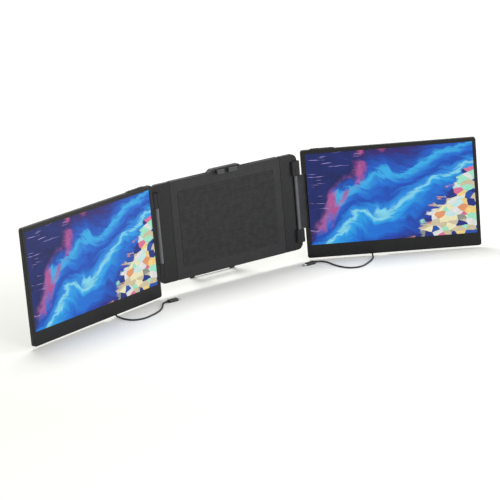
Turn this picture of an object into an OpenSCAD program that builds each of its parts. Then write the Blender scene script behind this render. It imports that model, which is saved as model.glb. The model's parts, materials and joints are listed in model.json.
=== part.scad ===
// Laptop screen extender: two portable screens on double hinges, carried by a
// plate that hangs on a laptop's lid.
// Millimetres. +Z is up the lid, -Y faces the user, +X is the user's right.
// The origin is the centre of the lid pad's face, where the lid lies.

/* [Lid and desk] */
// Thickness of the lid that the hooks and grips hold
lid_thick = 5; // [4:0.5:7]
// Width of the lid that the grips hold at rest
lid_w = 308; // [300:1:320]
// Height of the lid's top edge above the pad's centre
lid_top = 93.5; // [90:0.5:96]
// Depth of the desk below the pad's centre
desk_drop = 127; // [125:0.5:135]

/* [Centre housing] */
// Width of the housing
hub_w = 256; // [240:1:256]
// Top edge of the housing and the wings, above the pad's centre
hub_top = 96.8; // [96:0.2:99]
// Bottom edge of the housing and the wings
hub_bottom = -99; // [-102:0.5:-98]
// Depth of the housing behind its front cover's face
hub_d = 11.5; // [11:0.5:14]
// Wall of the housing
hub_wall = 2; // [1.5:0.25:2.5]
// Corner radius of the housing
hub_r = 3; // [1:0.5:6]
// Width of the lid pad
pad_w = 224; // [160:2:230]
// Height of the lid pad
pad_h = 150; // [100:2:160]
// Thickness of the lid pad
pad_t = 1.2; // [1:0.1:1.6]

/* [Wings] */
// Thickness of a wing arm's plate
arm_t = 5; // [4.5:0.25:5.5]
// Thickness of the wing's rear cover
wing_cover_t = 4; // [2:0.25:5]
// Outer corner radius of a wing
wing_r = 13; // [8:0.5:16]
// Thickness of the tongue that slides in the housing
tongue_t = 2.3; // [2:0.1:2.4]
// Height of the tongue
tongue_h = 156; // [140:1:158]
// Distance from a tongue's inner end to the clamp's channel
tongue_stop = 2; // [1.5:0.5:20]
// Width of a hinge block, inwards from the wing's outer edge
block_w = 13.2; // [12:0.2:14]
// Top of the upper hinge block
block_top = 82.5; // [80:0.5:86]
// Bottom of the lower hinge block
block_bottom = -84; // [-88:0.5:-80]
// Distance that the right hinge blocks stand out past their wing
right_block_reach = 3; // [0:0.5:3.5]
// Radius of a hinge block's outer front edge
knuckle_r = 1.5; // [0.5:0.25:3]
// Thickness of a rubber grip pad
grip_t = 1.4; // [1:0.1:1.8]

/* [Hinges] */
// Radius of the wing hinge barrel
barrel_a = 4; // [3.6:0.1:4.2]
// Radius of the wing hinge pin
pin_a = 1.6; // [1.2:0.1:2]
// Radius of the screen hinge barrel
barrel_b = 2.4; // [2.2:0.1:2.5]
// Radius of the screen hinge pin
pin_b = 1.05; // [0.9:0.05:1.2]
// Top of the hinge links
link_top = 52.1; // [48:0.5:54]
// Bottom of the hinge links
link_bottom = -57.1; // [-60:0.5:-54]
// Thickness of a link's plate
link_t = 3.6; // [3:0.2:4]
// Pin to pin length of the left link
link_left = 13; // [13:0.25:14]
// Pin to pin length of the right link
link_right = 22.5; // [22.5:0.25:26]
// Toe-in of the left screen at rest
toe_left = 16.6; // [0:0.1:30]
// Toe-in of the right screen at rest
toe_right = 34.8; // [0:0.1:45]
// Thickness of a friction washer
washer_t = 0.5; // [0.3:0.1:0.6]

/* [Screens] */
// Width of the picture
active_w = 332; // [330:0.5:345]
// Height of the picture
active_h = 186.8; // [184:0.2:194]
// Bottom of the picture above the pad's centre
active_bottom = -94.5; // [-96:0.1:-92]
// Width of the bezel at the outer side
bezel_side = 7; // [6.6:0.1:9]
// Height of the bezel above the picture
bezel_top = 8; // [7.6:0.1:10]
// Height of the chin under the picture
chin = 26.7; // [24:0.1:28]
// Thickness of a screen
screen_t = 9; // [9:0.1:10]
// Corner radius of a screen
screen_r = 5; // [3:0.5:8]
// Wall of a screen's shells
screen_wall = 1.2; // [1:0.1:1.3]
// Distance of the left screen's hinge pin from its inner edge
inset_left = 3; // [2.9:0.1:3.2]
// Distance of the right screen's hinge pin from its inner edge
inset_right = 6; // [3:0.1:6.4]
// Distance of the picture's inner edge from the screen hinge pin
picture_in = 4; // [3.9:0.1:5]
// Distance of the cable's socket from the screen hinge pin
port_s = 124; // [110:1:140]
// Distance between the two sockets
port_gap = 18; // [15:0.5:24]
// Length of the button pod on the top edge
pod_len = 52; // [48:1:60]
// Height of the button pod
pod_h = 1.8; // [1.2:0.1:2.4]

/* [Top clamp] */
// Width of the clamp's head at its base
head_w = 78; // [72:1:90]
// Width of the clamp's head at its top
head_top_w = 63; // [56:1:70]
// Height of the clamp's head
head_h = 5.8; // [5:0.2:9]
// Width of the left hook finger
finger_left_w = 16.5; // [12:0.5:18]
// Width of the right hook finger
finger_right_w = 19.7; // [14:0.5:22]
// Width of the clamp's bar
bar_w = 56; // [40:1:56]

/* [Rear stand] */
// Width of the stand
stand_w = 110; // [90:1:116]
// Height of the stand's pin above the pad's centre
stand_top = 38; // [30:1:44]
// Length of the stand's frame below its pin
frame_len = 132; // [120:1:134]
// Lean of the stand at rest, with its legs drawn out to the desk
lean = 22; // [10:0.5:30]

/* [Cables] */
// Diameter of a cable
cable_d = 3.4; // [3:0.1:3.6]
// Thickness of a plug's moulding
plug_t = 5.6; // [5:0.1:6]
// Width of a plug's moulding
plug_w = 11.5; // [10:0.5:12.5]

/* [Hidden] */
sides = ["left", "right"];
$fn = 40;

// running clearances
fit = 0.05;
gap = 0.3;
eps = 0.01;

// housing
face_y = 0.5;
hub_back = face_y + hub_d;
hub_x = hub_w / 2;
front_t = 2;
tongue_y = face_y + front_t + 0.7;
arm_back = tongue_y + tongue_t;
tongue_z = tongue_h / 2;
rail_lip = 2;
rail_h = 7;
guide_half = bar_w / 2 + gap;
guide_wall = 2.4;
tongue_in = guide_half + guide_wall + tongue_stop;
rail_end = tongue_in;
bar_y0 = face_y + front_t + 0.7;
bar_y1 = hub_back - 3.3;
bar_bottom = 30;
guide_bottom = -20;
spring_r = 3;
spring_x = 15;
post_r = 3.6;
screw_r = 1.5;
hub_screw_inset = 10;
hub_screw_x = hub_x - hub_screw_inset;
hub_screw_spots = [for (x = [-1, -0.38, 0.38, 1], z = [hub_bottom + 9, hub_top - 9])
    [x * hub_screw_x, z]];

// wings
hinge_x = lid_w / 2 + 8;
hinge_y = face_y - 1.5;
arm_out = hinge_x + 7;
arm_in = hub_x + gap;
block_x = arm_out - block_w;
block_y = -lid_thick;
swing_r = barrel_a + 0.7;
shield_out = hinge_x + 4;
groove_w = 0.8;
groove_x = block_x + 4.8;
notch_top = link_top + washer_t + 0.1;
notch_bottom = link_bottom - washer_t - 0.1;
cover_y = face_y + arm_t;
wing_back = cover_y + wing_cover_t;
wing_screw_r = 1.2;
wing_screw_spots = [[arm_in + 7, 80], [arm_in + 7, -80], [arm_out - 15, 68], [arm_out - 15, -70]];

// screens, measured from the screen hinge pin
edge_out = picture_in + active_w + bezel_side;
picture_top = active_bottom + active_h;
screen_top = picture_top + bezel_top;
screen_bottom = active_bottom - chin;
half_t = screen_t / 2;
slot_s = barrel_b + gap;
slot_top = link_top + 0.4;
slot_bottom = link_bottom - 0.4;
slot_lip = 1.5;
slot_lip_t = 0.9;
bezel_t = 1.3;
panel_y = -half_t + bezel_t + 0.1;
panel_t = 0.9;
light_t = 1.2;
panel_edge = 0.4;
board_y = panel_y + panel_t + light_t + 0.2;
board_t = 0.8;
board_left = 34;
board_right = 50;
board_h = 28.8;
bracket_len = 26;
socket_t = 3.15;
socket_w = 8.9;
socket_len = 7.4;
socket_y = board_y + board_t + 0.05 + socket_t / 2;
bay_top = active_bottom - panel_edge - 1.2;
bay_front = -2.1;
bay_in = port_s - 11;
bay_out = port_s + port_gap + 11;
ear_r = 1.9;
ear_h = 6.7;
pin_b_top = slot_top + ear_h + 1;
pin_b_bottom = slot_bottom - ear_h - 1;
plate_y0 = ear_r;
plate_y1 = half_t - screen_wall - 0.1;
pod_in = 12;
pod_half = 2.6;
button_travel = 0.6;
button_proud = 0.8;
power_s = 26;
menu_s = 50;
stem_bottom = screen_top - 3.4;
button_board_z = picture_top + 1.6;
screen_screw_r = 0.8;
boss_r = 2.2;
top_screw_z = screen_top - 3.9;
low_screw_z = screen_bottom + 10;
screen_screw_out = edge_out - 33;
screen_screw_spots = [[80, top_screw_z], [180, top_screw_z], [screen_screw_out, top_screw_z],
    [40, low_screw_z], [200, low_screw_z], [screen_screw_out, low_screw_z]];

// stand
stand_y = hub_back + 5.5;
stand_pin_r = 1.6;
stand_eye_r = 4;
frame_t = 5;
rail_w = 15;
ear_w = 6;
leg_w = 9;
leg_t = 2.4;
leg_len = 96;
foot_wall = 1.4;
foot_sole = 1.6;
foot_h = 6;
// the legs' length outside the frame that puts the feet's front edge on the desk
leg_out = (stand_top + desk_drop - (leg_t / 2 + foot_wall) * sin(lean)) / cos(lean)
    - frame_len - 5 - foot_sole;

// top clamp
head_z = hub_top + 0.4;
head_back = hub_back - 1;
head_front = -1;
lip_t = 2;
liner_t = 0.4;
finger_z = lid_top + liner_t;
finger_top = head_z + 2.8;
finger_lip = lid_top - 1.6;
finger_spots = [[-22.3, finger_left_w], [3.9, finger_right_w]];

// cables, in the screen's own frame: along the screen, back, up
relief_len = 3.6;
plug_body = 14.6;
plug_top = bay_top - 0.1;
relief_end = plug_top - plug_body - relief_len;
tip_w = 8.3;
tip_t = 2.5;
tip_len = 6.4;
far_body = 20;
far_relief = 6;
far_z = -desk_drop + plug_t / 2;
far_left = [8, -30];
far_right = [6, -26.5];
drop_points = [[124, 1.6, -116.8], [124, 0.95, -120], [124, -0.9, -122.8], [124, -3.65, -124.65],
    [124, -6.9, -125.3]];
left_points = [[126, -14, -125.3], [128.5, -22, -125.3], [129.5, -30, -125.3],
    [129.5, -38, -125.3], [127.5, -46, -125.3], [123, -53, -125.3], [116, -58, -125.3],
    [108, -60.5, -125.3], [99, -61, -125.3], [90, -60.5, -125.3], [81, -59.5, -125.3],
    [72, -58, -125.3], [63, -55.5, -125.3], [54.5, -51.5, -125.3], [46, -47, -125.3],
    [38, -41.5, -125.3], [30, -35, -125.2], [22, -29.5, -124.7]];
right_points = [[124.5, -15, -125.3], [123.5, -24, -125.3], [121.5, -33, -125.3],
    [119, -42, -125.3], [115.5, -51, -125.3], [111.5, -60, -125.3], [107, -69, -125.3],
    [101.5, -77, -125.3], [94, -83, -125.3], [85.5, -85, -125.3], [77, -84, -125.3],
    [69.5, -80.5, -125.3], [62.5, -75, -125.3], [56, -68.5, -125.3], [50.5, -61.5, -125.3],
    [45.5, -54, -125.3], [41, -46, -125.3], [37, -38, -125.3], [32.5, -30.5, -125.3],
    [26.5, -24.5, -125.2], [19, -21.3, -124.7]];

// ---------- shared shapes ----------

// a block given by its two corners
module block(a, b) {
    translate(a) cube(b - a);
}

// an outline in the X-Z plane, made solid from y0 back to y1
module slab(y0, y1) {
    translate([0, y1, 0]) rotate([90, 0, 0]) linear_extrude(y1 - y0) children();
}

// a rectangle from a to b with round corners
module round_rect(a, b, r) {
    translate([a[0] + r, a[1]]) square([b[0] - a[0] - 2 * r, b[1] - a[1]]);
    translate([a[0], a[1] + r]) square([b[0] - a[0], b[1] - a[1] - 2 * r]);
    for (x = [a[0] + r, b[0] - r], z = [a[1] + r, b[1] - r]) translate([x, z]) circle(r);
}

// a round bar along Y
module bar_y(x, z, r, y0, y1) {
    translate([x, y1, z]) rotate([90, 0, 0]) cylinder(r = r, h = y1 - y0);
}

// a round bar along Z
module bar_z(x, y, r, z0, z1) {
    translate([x, y, z0]) cylinder(r = r, h = z1 - z0);
}

// a round bar along X
module bar_x(y, z, r, x0, x1) {
    translate([x0, y, z]) rotate([0, 90, 0]) cylinder(r = r, h = x1 - x0);
}

// a flat-headed screw along Y, its head's face at y1
module screw(x, z, r, y0, y1) {
    bar_y(x, z, r, y0, y1 - r * 0.6);
    bar_y(x, z, r * 1.9, y1 - r * 0.8, y1);
}

// the hole for such a screw, through to y0, sunk 0.1 below the face at y1
module screw_hole(x, z, r, y0, y1) {
    bar_y(x, z, r + fit, y0, y1 + 1);
    bar_y(x, z, r * 1.9 + fit, y1 - r * 0.8 - 0.1, y1 + 1);
}

// the right side as drawn, the left side as its mirror image
module on_side(side) {
    if (side == "right") children();
    else mirror([1, 0, 0]) children();
}

function link_len(side) = side == "right" ? link_right : link_left;
function toe(side) = side == "right" ? toe_right : toe_left;

// the screen's own frame: its hinge pin at the origin, X along the screen
module at_screen(side) {
    on_side(side) translate([hinge_x + link_len(side), hinge_y, 0])
        rotate([0, 0, -toe(side)]) children();
}

// ---------- centre housing ----------

module hub_front_cover() {
    color([0.16, 0.16, 0.17]) difference() {
        slab(face_y, face_y + front_t) round_rect([-hub_x, hub_bottom], [hub_x, hub_top], hub_r);
        slab(face_y - eps, pad_t) round_rect([-pad_w / 2 - 0.2, -pad_h / 2 - 0.2],
            [pad_w / 2 + 0.2, pad_h / 2 + 0.2], hub_r + 0.2);
    }
}

module hub_rear_cover() {
    y0 = face_y + front_t;
    color([0.2, 0.2, 0.21]) difference() {
        union() {
            difference() {
                slab(y0, hub_back) round_rect([-hub_x, hub_bottom], [hub_x, hub_top], hub_r);
                block([-hub_x - 1, y0 - 1, hub_bottom + hub_wall],
                    [hub_x + 1, hub_back - hub_wall, hub_top - hub_wall]);
            }
            for (p = hub_screw_spots) bar_y(p[0], p[1], post_r, y0, hub_back - hub_wall + eps);
        }
        // the clamp bar's way out
        block([-guide_half, bar_y0 - gap, hub_top - hub_wall - 1],
            [guide_half, bar_y1 + gap, hub_top + 1]);
        for (p = hub_screw_spots) screw_hole(p[0], p[1], screw_r, y0 - 1, hub_back);
    }
}

module lid_pad() {
    color([0.09, 0.09, 0.1])
        slab(0, pad_t) round_rect([-pad_w / 2, -pad_h / 2], [pad_w / 2, pad_h / 2], hub_r);
}

// four guides, above and below each wing's tongue
module slide_rails() {
    y0 = tongue_y - 0.5;
    y1 = hub_back - hub_wall;
    color([0.62, 0.63, 0.65])
        for (side = sides, up = [1, -1]) on_side(side) difference() {
            block([rail_end, y0, min(up * (tongue_z - rail_lip), up * (tongue_z + rail_h - rail_lip))],
                [hub_x - 1, y1, max(up * (tongue_z - rail_lip), up * (tongue_z + rail_h - rail_lip))]);
            block([rail_end - 1, tongue_y - 0.1, -tongue_z - 0.1], [hub_x, arm_back + 0.1, tongue_z + 0.1]);
        }
}

// a channel that leads the clamp's bar, with the springs' anchor at its foot
module clamp_guide() {
    y0 = bar_y0 - 0.4;
    y1 = hub_back - hub_wall;
    top = hub_top - hub_wall - 0.2;
    color([0.55, 0.56, 0.58]) {
        for (side = sides) on_side(side)
            block([guide_half, y0, guide_bottom - 4], [guide_half + guide_wall, y1, top]);
        block([-guide_half - eps, bar_y1 + 0.2, guide_bottom - 4], [guide_half + eps, y1, top]);
        block([-guide_half - eps, y0, guide_bottom - 4], [guide_half + eps, y1, guide_bottom]);
    }
}

module clamp_springs() {
    y = (bar_y0 + bar_y1) / 2;
    color([0.75, 0.75, 0.77])
        for (x = [-spring_x, spring_x]) difference() {
            bar_z(x, y, spring_r - 0.2, guide_bottom, bar_bottom);
            bar_z(x, y, spring_r - 1.2, guide_bottom - 1, bar_bottom + 1);
        }
}

module hub_screws() {
    color([0.35, 0.35, 0.37]) for (p = hub_screw_spots)
        screw(p[0], p[1], screw_r, face_y + front_t, hub_back - 0.1);
}

// ---------- rear stand ----------

module stand_bracket() {
    reach = stand_w / 2 + 0.4;
    color([0.3, 0.3, 0.32]) difference() {
        for (side = sides) on_side(side) {
            bar_x(stand_y, stand_top, stand_eye_r + 1, reach, reach + ear_w);
            block([reach, hub_back, stand_top - stand_eye_r - 1],
                [reach + ear_w, stand_y, stand_top + stand_eye_r + 1]);
        }
        bar_x(stand_y, stand_top, stand_pin_r + fit, -reach - ear_w - 1, reach + ear_w + 1);
    }
}

module stand_pin() {
    reach = stand_w / 2 + 0.4 + ear_w;
    color([0.7, 0.7, 0.72]) bar_x(stand_y, stand_top, stand_pin_r, -reach, reach);
}

// the stand's own frame: its pin at the origin, its legs along -Z
module at_stand() {
    translate([0, stand_y, stand_top]) rotate([lean, 0, 0]) children();
}

module stand_frame() {
    half = stand_w / 2;
    color([0.22, 0.22, 0.23]) at_stand() difference() {
        union() {
            bar_x(0, 0, stand_eye_r, -half, half);
            slab(-frame_t / 2, frame_t / 2) difference() {
                round_rect([-half, -frame_len], [half, 0], 2);
                round_rect([-half + rail_w, -frame_len + 14], [half - rail_w, -22], 5);
            }
        }
        bar_x(0, 0, stand_pin_r + fit, -half - 1, half + 1);
        // channels for the sliding legs
        for (x = [-1, 1] * (half - rail_w / 2))
            block([x - leg_w / 2 - 0.15, -leg_t / 2 - 0.15, -frame_len - 1],
                [x + leg_w / 2 + 0.15, leg_t / 2 + 0.15, -8]);
    }
}

module stand_legs() {
    half = stand_w / 2;
    low = -frame_len - leg_out;
    color([0.6, 0.61, 0.63]) at_stand() {
        for (x = [-1, 1] * (half - rail_w / 2))
            block([x - leg_w / 2, -leg_t / 2, low], [x + leg_w / 2, leg_t / 2, low + leg_len]);
        slab(-leg_t / 2, leg_t / 2) round_rect([-half + 1, low - 5], [half - 1, low + 4], 2);
    }
}

module stand_feet() {
    half = stand_w / 2;
    low = -frame_len - leg_out - 5;
    color([0.06, 0.06, 0.06]) at_stand()
        for (x = [-1, 1] * (half - rail_w / 2)) difference() {
            slab(-leg_t / 2 - foot_wall, leg_t / 2 + foot_wall)
                round_rect([x - leg_w / 2 - 1, low - foot_sole], [x + leg_w / 2 + 1, low + 3], 1);
            block([x - leg_w, -leg_t / 2, low], [x + leg_w, leg_t / 2, low + foot_h]);
        }
}

// ---------- top clamp ----------

module clamp_bar() {
    color([0.17, 0.17, 0.18]) {
        block([-bar_w / 2, bar_y0, bar_bottom], [bar_w / 2, bar_y1, head_z + eps]);
        slab(head_front, head_back) polygon([[-head_w / 2, head_z], [head_w / 2, head_z],
            [head_top_w / 2, head_z + head_h], [-head_top_w / 2, head_z + head_h]]);
    }
}

module clamp_fingers() {
    y0 = -lid_thick - lip_t - 0.2;
    color([0.42, 0.43, 0.44]) for (f = finger_spots) {
        block([f[0], y0, finger_z], [f[0] + f[1], head_front, finger_top]);
        block([f[0], y0, finger_lip], [f[0] + f[1], y0 + lip_t, finger_z + eps]);
    }
}

module clamp_liners() {
    color([0.08, 0.08, 0.08]) for (f = finger_spots)
        block([f[0] + 0.5, -lid_thick + 0.2, lid_top], [f[0] + f[1] - 0.5, head_front, finger_z]);
}

// ---------- wings ----------

// the wing's outline, cut back where the hinge link swings
module wing_outline(inset) {
    difference() {
        union() {
            round_rect([arm_in + inset, hub_bottom + inset], [arm_out - inset, hub_top - inset],
                wing_r - inset);
            translate([arm_in + inset, hub_bottom + inset])
                square([wing_r, hub_top - hub_bottom - 2 * inset]);
        }
        translate([hinge_x - swing_r - inset, notch_bottom - inset])
            square([arm_out, notch_top - notch_bottom + 2 * inset]);
    }
}

// a hinge block: round at its outer front edge, with an upright groove in its face
module hinge_block(side, z0, z1) {
    out = arm_out + (side == "right" ? right_block_reach : 0);
    translate([0, 0, z0]) linear_extrude(z1 - z0) difference() {
        union() {
            translate([block_x, block_y])
                square([out - knuckle_r - block_x, cover_y - block_y]);
            translate([block_x, block_y + knuckle_r])
                square([out - block_x, cover_y - block_y - knuckle_r]);
            translate([out - knuckle_r, block_y + knuckle_r]) circle(knuckle_r);
        }
        translate([groove_x, block_y - 1]) square([groove_w, 1.5]);
    }
}

module wing_arm(side) {
    color([0.2, 0.2, 0.21]) on_side(side) difference() {
        union() {
            slab(face_y, cover_y) wing_outline(0);
            block([tongue_in, tongue_y, -tongue_z], [arm_in + 1, arm_back, tongue_z]);
            hinge_block(side, notch_top, block_top);
            hinge_block(side, block_bottom, notch_bottom);
            // a lip behind the barrel closes the slot between the blocks
            block([hinge_x - swing_r - 1, hinge_y + swing_r, notch_bottom - 1],
                [shield_out, cover_y, notch_top + 1]);
        }
        bar_z(hinge_x, hinge_y, pin_a + fit, hub_bottom, hub_top);
        for (p = wing_screw_spots) bar_y(p[0], p[1], wing_screw_r + fit, face_y + 1.2, cover_y + 1);
    }
}

module wing_cover(side) {
    wall = 1.5;
    color([0.15, 0.15, 0.16]) on_side(side) difference() {
        union() {
            difference() {
                slab(cover_y, wing_back) wing_outline(0);
                slab(cover_y - 1, wing_back - wall) wing_outline(wall);
            }
            for (p = wing_screw_spots) bar_y(p[0], p[1], 3, cover_y, wing_back - wall + eps);
        }
        for (p = wing_screw_spots) screw_hole(p[0], p[1], wing_screw_r, cover_y - 1, wing_back);
    }
}

module wing_screws(side) {
    color([0.35, 0.35, 0.37]) on_side(side) for (p = wing_screw_spots)
        screw(p[0], p[1], wing_screw_r, face_y + 1.3, wing_back - 0.1);
}

module grip_pads(side) {
    color([0.07, 0.07, 0.07]) on_side(side)
        for (z = [[notch_top, block_top], [block_bottom, notch_bottom]])
            block([block_x - grip_t, block_y + 0.4, z[0] + 1], [block_x, face_y, z[1] - 1]);
}

module wing_pin(side) {
    color([0.72, 0.72, 0.74]) on_side(side)
        bar_z(hinge_x, hinge_y, pin_a, block_bottom + 1, block_top - 1);
}

module wing_washers(side) {
    color([0.35, 0.35, 0.37]) on_side(side)
        for (z = [link_top + 0.05, link_bottom - washer_t - 0.05]) difference() {
            bar_z(hinge_x, hinge_y, barrel_a - 0.4, z, z + washer_t);
            bar_z(hinge_x, hinge_y, pin_a + fit, z - 1, z + washer_t + 1);
        }
}

// ---------- hinge links ----------

module link(side) {
    far = link_len(side);
    z0 = link_bottom;
    z1 = link_top;
    color([0.24, 0.24, 0.25]) on_side(side) translate([hinge_x, hinge_y, 0]) difference() {
        union() {
            bar_z(0, 0, barrel_a, z0, z1);
            bar_z(far, 0, barrel_b, z0, z1);
            block([0, -link_t / 2, z0], [far, link_t / 2, z1]);
        }
        bar_z(0, 0, pin_a + fit, z0 - 1, z1 + 1);
        bar_z(far, 0, pin_b + fit, z0 - 1, z1 + 1);
    }
}

module screen_pin(side) {
    color([0.72, 0.72, 0.74]) at_screen(side) bar_z(0, 0, pin_b, pin_b_bottom, pin_b_top);
}

// ---------- screens ----------

// the screen's outline drawn in by inset, with its slot for the link
module screen_outline(side, inset) {
    low = side == "right" ? -inset_right : -inset_left;
    difference() {
        round_rect([low + inset, screen_bottom + inset],
            [edge_out - inset, screen_top - inset], screen_r - min(inset, screen_r - 1));
        translate([low - 1, slot_bottom - inset])
            square([slot_s + inset - low + 1, slot_top - slot_bottom + 2 * inset]);
    }
}

// the plug bay's outline, open at the bottom edge
module bay_outline(grow) {
    translate([bay_in - grow, screen_bottom - 1])
        square([bay_out - bay_in + 2 * grow, bay_top - screen_bottom + 1 + grow]);
}

module front_bezel(side) {
    color([0.2, 0.2, 0.2]) at_screen(side) difference() {
        union() {
            slab(-half_t, -half_t + 0.4) screen_outline(side, 0.4);
            slab(-half_t + 0.4, -half_t + bezel_t) screen_outline(side, 0);
        }
        slab(-half_t - 1, half_t) translate([picture_in, active_bottom])
            square([active_w, active_h]);
    }
}

module display_panel(side) {
    color([0.1, 0.3, 0.75]) at_screen(side)
        slab(panel_y, panel_y + panel_t) translate([picture_in - panel_edge, active_bottom - panel_edge])
            square([active_w + 2 * panel_edge, active_h + 2 * panel_edge]);
}

module backlight(side) {
    color([0.85, 0.86, 0.88]) at_screen(side)
        slab(panel_y + panel_t, panel_y + panel_t + light_t)
            translate([picture_in - panel_edge, active_bottom - panel_edge])
                square([active_w + 2 * panel_edge, active_h + 2 * panel_edge]);
}

module rear_cover(side) {
    y0 = -half_t + bezel_t;
    color([0.17, 0.17, 0.18]) at_screen(side) difference() {
        union() {
            difference() {
                union() {
                    slab(y0, half_t - 0.6) screen_outline(side, 0);
                    slab(half_t - 0.6, half_t) screen_outline(side, 0.6);
                }
                slab(y0 - 1, half_t - screen_wall) difference() {
                    screen_outline(side, 0.8);
                    bay_outline(1);
                }
            }
            // a lip behind the link's barrel closes the slot
            block([slot_s - slot_lip, half_t - 0.6 - slot_lip_t, slot_bottom - 0.5],
                [slot_s + 1, half_t - 0.6, slot_top + 0.5]);
            // the button pod with its sloped ends
            slab(-pod_half, pod_half) polygon([[pod_in, screen_top - 0.8],
                [pod_in + pod_len, screen_top - 0.8], [pod_in + pod_len, screen_top],
                [pod_in + pod_len - 4, screen_top + pod_h], [pod_in + 4, screen_top + pod_h],
                [pod_in, screen_top]]);
            for (p = screen_screw_spots)
                bar_y(p[0], p[1], boss_r, y0, half_t - screen_wall + eps);
        }
        slab(bay_front, half_t + 1) bay_outline(0);
        // the sockets' windows in the bay's roof
        for (s = [port_s, port_s + port_gap])
            block([s - socket_w / 2 - 0.1, socket_y - socket_t / 2 - 0.1, bay_top - 1],
                [s + socket_w / 2 + 0.1, socket_y + socket_t / 2 + 0.1, bay_top + 2]);
        // the two button holes
        for (b = [[power_s, 4.5], [menu_s, 5.5]])
            block([b[0] - b[1] - 0.15, -1.65, screen_top - 2], [b[0] + b[1] + 0.15, 1.65, screen_top + 3]);
        for (p = screen_screw_spots) screw_hole(p[0], p[1], screen_screw_r, y0 - 1, half_t);
        bar_z(0, 0, pin_b + 2 * fit, slot_bottom - 2, slot_top + 2);
        // loudspeaker slits
        for (s = [60, 270], k = [0:5])
            block([s + k * 3, half_t - screen_wall - 1, screen_bottom + 6],
                [s + k * 3 + 1, half_t + 1, screen_bottom + 16]);
    }
}

module hinge_bracket(side) {
    color([0.65, 0.66, 0.68]) at_screen(side) difference() {
        union() {
            for (z = [[slot_top + 0.1 + 0.8, slot_top + ear_h], [slot_bottom - ear_h, slot_bottom - 0.9]]) {
                bar_z(0, 0, ear_r, z[0], z[1]);
                block([0, board_y + 0.1, z[0]], [9, plate_y0 + 0.2, z[1]]);
            }
            block([6, plate_y0, slot_bottom - ear_h], [bracket_len, plate_y1, slot_top + ear_h]);
        }
        bar_z(0, 0, pin_b + fit, slot_bottom - ear_h - 1, slot_top + ear_h + 1);
    }
}

module main_board(side) {
    color([0.1, 0.35, 0.18]) at_screen(side)
        block([port_s - board_left, board_y, bay_top + 1.2],
            [port_s + board_right, board_y + board_t, bay_top + 1.2 + board_h]);
}

module usb_sockets(side) {
    z1 = bay_top + socket_len;
    color([0.75, 0.75, 0.77]) at_screen(side)
        for (s = [port_s, port_s + port_gap]) difference() {
            block([s - socket_w / 2, socket_y - socket_t / 2, bay_top],
                [s + socket_w / 2, socket_y + socket_t / 2, z1]);
            block([s - tip_w / 2 - fit, socket_y - tip_t / 2 - fit, bay_top - 1],
                [s + tip_w / 2 + fit, socket_y + tip_t / 2 + fit, z1 - 0.6]);
        }
}

module button_board(side) {
    color([0.1, 0.35, 0.18]) at_screen(side) {
        block([power_s - 8, -1.5, button_board_z],
            [menu_s + 8, half_t - screen_wall, button_board_z + board_t]);
        for (s = [power_s, menu_s - 3.4, menu_s + 3.4])
            bar_z(s, 0, 1.2, button_board_z + board_t - eps, stem_bottom - button_travel - 0.2);
    }
}

module button(side, s, half) {
    color([0.3, 0.3, 0.31]) at_screen(side) {
        slab(-1.5, 1.5) round_rect([s - half, screen_top - 1.6],
            [s + half, screen_top + pod_h + button_proud], 0.6);
        block([s - half + 0.6, -1.2, stem_bottom], [s + half - 0.6, 1.2, screen_top - 1.5]);
    }
}

module screen_screws(side) {
    color([0.4, 0.4, 0.42]) at_screen(side) for (p = screen_screw_spots)
        screw(p[0], p[1], screen_screw_r, -half_t + bezel_t + 0.1, half_t - 0.1);
}

// ---------- cables ----------

// the direction of a screen's far plug, in the screen's own frame
function far_dir(side) = [-cos(toe(side)), -sin(toe(side)), 0];
function far_at(side) = side == "right" ? far_right : far_left;
function far_point(side, back) = [for (i = [0:1]) far_at(side)[i] - far_dir(side)[i] * back];
function route(side) = concat(
    [[port_s, socket_y, relief_end]],
    drop_points,
    side == "right" ? right_points : left_points,
    [concat(far_point(side, far_relief), [far_z])]);

function unit(v) = v / norm(v);
// the way the cable runs at point i: square to the plugs at both ends
function heading(p, i, last) =
    i == 0 ? [0, 0, -1] : i == len(p) - 1 ? last : unit(p[i + 1] - p[i - 1]);
// the ring's own X direction, carried from ring to ring without a twist
function frames(p, last, i = 0, x = [1, 0, 0]) =
    i == len(p) ? [] :
    let (t = heading(p, i, last), u = unit(x - (x * t) * t))
    concat([[u, cross(t, u)]], frames(p, last, i + 1, u));

// a tube of 8 sides swept along the points
module tube(p, r, last) {
    n = 8;
    f = frames(p, last);
    rings = [for (i = [0:len(p) - 1], k = [0:n - 1])
        p[i] + r * (cos(k * 360 / n) * f[i][0] + sin(k * 360 / n) * f[i][1])];
    ends = len(p) * n;
    polyhedron(concat(rings, [p[0], p[len(p) - 1]]), concat(
        [for (i = [0:len(p) - 2], k = [0:n - 1]) let (a = i * n + k, b = i * n + (k + 1) % n)
            each [[a, b + n, b], [a, a + n, b + n]]],
        [for (k = [0:n - 1]) [ends, k, (k + 1) % n]],
        [for (k = [0:n - 1]) let (a = (len(p) - 1) * n) [ends + 1, a + (k + 1) % n, a + k]]));
}

module cable(side) {
    color([0.1, 0.1, 0.1]) at_screen(side) tube(route(side), cable_d / 2, far_dir(side));
}

// a plug pointing up +Z: its tip above z = 0, its moulding below
module plug(body, relief) {
    translate([-plug_w / 2, -plug_t / 2, -body]) cube([plug_w, plug_t, body]);
    translate([0, 0, -body - relief])
        cylinder(r1 = cable_d / 2 + 0.3, r2 = cable_d / 2 + 0.8, h = relief + eps);
    difference() {
        translate([-tip_w / 2, -tip_t / 2, -eps]) cube([tip_w, tip_t, tip_len + eps]);
        translate([-tip_w / 2 + 0.4, -tip_t / 2 + 0.4, 1]) cube([tip_w - 0.8, tip_t - 0.8, tip_len]);
    }
}

module screen_plug(side) {
    color([0.12, 0.12, 0.12]) at_screen(side)
        translate([port_s, socket_y, plug_top]) plug(plug_body, relief_len);
}

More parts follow.
